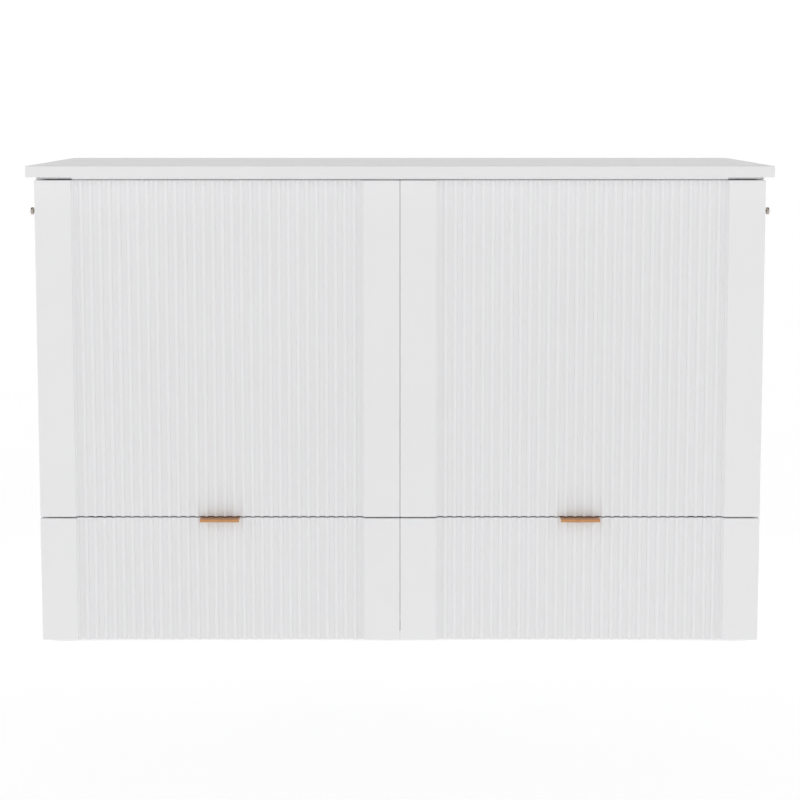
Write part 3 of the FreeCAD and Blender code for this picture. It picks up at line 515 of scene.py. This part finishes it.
for place_name in ("front", "middle", "rear"):
    node = "mattress_section_" + place_name
    low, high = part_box(node)
    block = foam_block("foam_" + place_name, low, high)
    applied(block, "REMESH", mode="VOXEL", voxel_size=VOXEL)
    inflated(block)
    applied(block, "SUBSURF", levels=1)
    # the free face of the front block and of the rear one crown, the faces between blocks lie flat, and the
    # quilting and the straps pull the cover in
    for vertex in block.data.vertices:
        x, y, z = vertex.co
        inside = ledge(x, low.x, high.x, CROWN_RUN) * ledge(z, low.z, high.z, CROWN_RUN)
        for face, outward, free in ((low.y, -1, place_name == "front"), (high.y, 1, place_name == "rear")):
            if abs(y - face) > FACE_REACH:
                continue
            strapped = math.exp(-((abs(x) - STRAP_X) / PULL_FACE) ** 2)
            crown = CROWN * inside * (1 - strapped) - FREE_IN if free else 0.0
            full = face + outward * crown
            y = max(y + outward * crown, full) if outward < 0 else min(y + outward * crown, full)
            y -= outward * SEAM_DEPTH * inside * dip(x, z)
        strapped = math.exp(-((abs(x) - STRAP_X) / PULL_TOP) ** 2)
        top = high.z - SKIN + TOP_CROWN * (1 - strapped)
        x = max(low.x - SIDE_CROWN, min(high.x + SIDE_CROWN, x))
        vertex.co = (x, y, max(low.z + SKIN, min(top, z)))
    block.data.shade_smooth()
    block.data.materials.append(cover)
    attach(block, "cabinet")
    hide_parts(node)

    # the taped edges follow the cover's own surface round each face
    mesh = block.data
    tree_of_faces = BVHTree.FromPolygons([v.co for v in mesh.vertices], [p.vertices for p in mesh.polygons])
    for face, outward in ((low.y, -1), (high.y, 1)):
        run = bpy.data.curves.new(f"tape_{place_name}_{'front' if outward < 0 else 'back'}", "CURVE")
        run.dimensions = "3D"
        run.bevel_depth = PIPE
        run.bevel_resolution = 3
        line = run.splines.new("NURBS")
        core_half = Vector(((high.x - low.x) / 2 - TAPE_CORE, 0, (high.z - low.z) / 2 - TAPE_CORE))
        middle = Vector(((low.x + high.x) / 2, face - outward * TAPE_CORE, (low.z + high.z) / 2))
        cores = [middle + Vector((sign_x * core_half.x, 0, sign_z * core_half.z))
                 for sign_x, sign_z in CORNERS]
        points = []
        for quarter, (corner, ahead) in enumerate(zip(cores, cores[1:] + cores[:1])):
            for n in range(CORNER_STEPS):
                angle = math.radians(90 * quarter + 90 * n / (CORNER_STEPS - 1))
                points.append((corner, angle))
            angle = math.radians(90 * (quarter + 1))
            steps = max(2, int((ahead - corner).length / TAPE_STEP))
            points += [(corner.lerp(ahead, n / steps), angle) for n in range(1, steps)]
        line.points.add(len(points) - 1)
        for point, (core, angle) in zip(line.points, points):
            aim = Vector((math.cos(angle), outward, math.sin(angle))).normalized()
            hit = tree_of_faces.ray_cast(core + aim * TAPE_REACH, -aim)[0]
            point.co = (*(hit or core + aim * TAPE_CORE), 1.0)
        line.order_u = 3
        line.use_cyclic_u = True
        edge = bpy.data.objects.new(run.name, run)
        bpy.context.scene.collection.objects.link(edge)
        run.materials.append(tape)
        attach(edge, "cabinet")

# ---- Mattress straps and their buckles
# Flat polyester webbing, woven black with a rounded selvedge, pulled tight round the folded mattress. Each is
# closed by a side-release buckle of moulded acetal on the front.

webbing, tree, shader, place = finish("black_polyester_webbing_woven")
WEFT = 0.0022       # metres between the threads across the webbing, drawn coarser than real ones
WARP = 0.0030       # and between those along it
weft = add(tree, "TexWave", {"Vector": place, "Scale": WAVE / WEFT}, bands_direction="Z")["Fac"]
warp = add(tree, "TexWave", {"Vector": place, "Scale": WAVE / WARP}, bands_direction="X")["Fac"]
weave = add(tree, "Math", {0: weft, 1: warp}, operation="MULTIPLY")["Value"]
feed(tree, shader, {
    "Base Color": mixed(tree, weave, "#1B1B1D", "#3A3A3D"),
    "Roughness": add(tree, "MapRange", {"Value": weave, "To Min": 0.82, "To Max": 0.62})["Result"],
    "Sheen Weight": 0.15,
    "Normal": add(tree, "Bump", {"Height": weave, "Strength": 0.6, "Distance": 0.0006})["Normal"],
})
acetal = moulded("black_acetal_moulded", "#0E0E0E", "#191919", 0.28, 0.45)

STRAP_WIDTH = 0.040
BEND = 0.0195           # radius of a strap's middle round an edge of the mattress
BEND_STEPS = 8
STRAP_IN = 0.001        # half the strap's thickness
# across the strap: distance from its middle as a share of half its width, and thickness there in metres
STRAP_ACROSS = ((-1.0, 0.0005), (-0.94, 0.00095), (-0.86, 0.0007), (0.0, 0.0007), (0.86, 0.0007),
                (0.94, 0.00095), (1.0, 0.0005))
low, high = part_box("mattress_straps")
strap_y = (low.y + STRAP_IN, high.y - STRAP_IN)
strap_z = (low.z + STRAP_IN, high.z - STRAP_IN)
for side, way in (("left", -1), ("right", 1)):
    centres = [(strap_y[1] - BEND, strap_z[1] - BEND), (strap_y[0] + BEND, strap_z[1] - BEND),
               (strap_y[0] + BEND, strap_z[0] + BEND), (strap_y[1] - BEND, strap_z[0] + BEND)]
    track = []
    for quarter, (y, z) in enumerate(centres):
        for n in range(BEND_STEPS + 1):
            angle = math.radians(90 * quarter + 90 * n / BEND_STEPS)
            track.append((y, z, math.cos(angle), math.sin(angle)))
    shape = bmesh.new()
    loops = []
    for y, z, away_y, away_z in track:
        ring = []
        for sign in (1, -1):
            for share, thick in (STRAP_ACROSS if sign > 0 else STRAP_ACROSS[::-1]):
                reach = BEND + sign * thick
                ring.append(shape.verts.new((way * STRAP_X + share * STRAP_WIDTH / 2, y + reach * away_y,
                                             z + reach * away_z)))
        loops.append(ring)
    for ring, following in zip(loops, loops[1:] + loops[:1]):
        for n in range(len(ring)):
            around = (n + 1) % len(ring)
            shape.faces.new((ring[n], ring[around], following[around], following[n]))
    name = "webbing_strap_" + side
    strap = show(name, meshed(name, shape), "cabinet", "webbing", webbing)
    if side == "left":
        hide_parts("mattress_straps")

low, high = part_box("strap_buckles")
buckle_z = (low.z + high.z) / 2


def bar(shape, centre, size):
    """A straight bar of a buckle."""
    for vertex in bmesh.ops.create_cube(shape, size=1.0)["verts"]:
        vertex.co = Vector(centre) + Vector([vertex.co[n] * size[n] for n in range(3)])


for side, way in (("left", -1), ("right", 1)):
    shape = bmesh.new()
    x, y = way * STRAP_X, (low.y + high.y) / 2
    bar(shape, (x, y, buckle_z + 0.0035), (0.046, 0.0056, 0.017))           # socket
    bar(shape, (x, y, buckle_z + 0.0175), (0.046, 0.0046, 0.003))           # bars that hold the webbing
    bar(shape, (x, y, buckle_z - 0.0175), (0.046, 0.0046, 0.003))
    bar(shape, (x, y, buckle_z - 0.0095), (0.038, 0.0042, 0.006))           # plug
    for end in (-1, 1):
        bar(shape, (x + end * 0.0235, y, buckle_z + 0.0025), (0.004, 0.0036, 0.013))        # release prongs
        bar(shape, (x + end * 0.0215, y, buckle_z + 0.0145), (0.003, 0.0044, 0.008))
        bar(shape, (x + end * 0.0215, y, buckle_z - 0.0140), (0.003, 0.0044, 0.008))
    bmesh.ops.bevel(shape, geom=shape.edges[:], offset=0.0007, segments=2, affect="EDGES")
    name = "buckle_moulded_" + side
    buckle = show(name, meshed(name, shape), "cabinet", "buckle_plastic", acetal)
    if side == "left":
        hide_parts("strap_buckles")

# ---- Floor
# A plain pale painted floor that runs out past the view, with a faint unevenness in its shine.

floor_paint, tree, shader, place = finish("pale_floor_paint_rolled")
rolled_on = add(tree, "TexNoise", {"Vector": place, "Scale": 3.0, "Detail": 4.0})["Fac"]
feed(tree, shader, {
    "Base Color": mixed(tree, rolled_on, "#F7F7F7", "#FAFAFA"),
    "Roughness": 0.9,
    "Specular IOR Level": 0.1,
    "Emission Color": linear("#FFFFFF"),
    "Emission Strength": 0.40,
})
shape = bmesh.new()
bmesh.ops.create_grid(shape, x_segments=8, y_segments=8, size=30.0)
floor = bpy.data.objects.new("floor", meshed("floor", shape, smooth=False))
floor.data.materials.append(floor_paint)
bpy.context.scene.collection.objects.link(floor)

# ---- Light
# Soft light from all round, less of it from overhead and from in front, and two tall soft boxes in front,
# one to each side, that give the flutes' outer flanks their brighter edge.

world = bpy.data.worlds.new("soft_studio")
bpy.context.scene.world = world
world.use_nodes = True
tree = world.node_tree
toward = add(tree, "TexCoord", {})["Generated"]
way_in = add(tree, "SeparateXYZ", {"Vector": toward})
overhead = add(tree, "MapRange", {"Value": way_in["Z"], "From Min": 0.6, "From Max": 0.95, "To Min": 1.0,
                                  "To Max": 0.05})["Result"]
behind = add(tree, "MapRange", {"Value": way_in["Y"], "From Min": -0.9, "From Max": 0.0, "To Min": 0.84,
                                "To Max": 1.05})["Result"]
lit = add(tree, "Math", {0: overhead, 1: behind}, operation="MULTIPLY")["Value"]
feed(tree, tree.nodes["Background"], {"Color": linear("#FFFFFF"), "Strength": lit})


def soft_box(name, at, aim, width, height, power):
    """A tall rectangular light that looks at a point."""
    lamp = bpy.data.lights.new(name, "AREA")
    lamp.shape = "RECTANGLE"
    lamp.size = width
    lamp.size_y = height
    lamp.energy = power
    holder = bpy.data.objects.new(name, lamp)
    holder.location = at
    holder.rotation_euler = (Vector(aim) - Vector(at)).to_track_quat("-Z", "Y").to_euler()
    bpy.context.scene.collection.objects.link(holder)


for name, way in (("soft_box_left", -1), ("soft_box_right", 1)):
    soft_box(name, (way * 3.2, -2.6, 1.5), (way * 0.4, 0.0, 0.6), 1.4, 2.4, 3.5)

# ---- Camera
# In front of the middle, a little above the lid, looking slightly down.

camera = bpy.data.objects.new("camera", bpy.data.cameras.new("camera"))
camera.location = (0.0, -4.300, 1.204)
camera.rotation_euler = (math.radians(90 - 5.545), 0.0, 0.0)
camera.data.sensor_width = 36.0
camera.data.lens = 82.66
camera.data.shift_y = -0.148
camera.data.clip_end = 100.0
bpy.context.scene.collection.objects.link(camera)
bpy.context.scene.camera = camera
bpy.context.scene.view_settings.view_transform = "Standard"
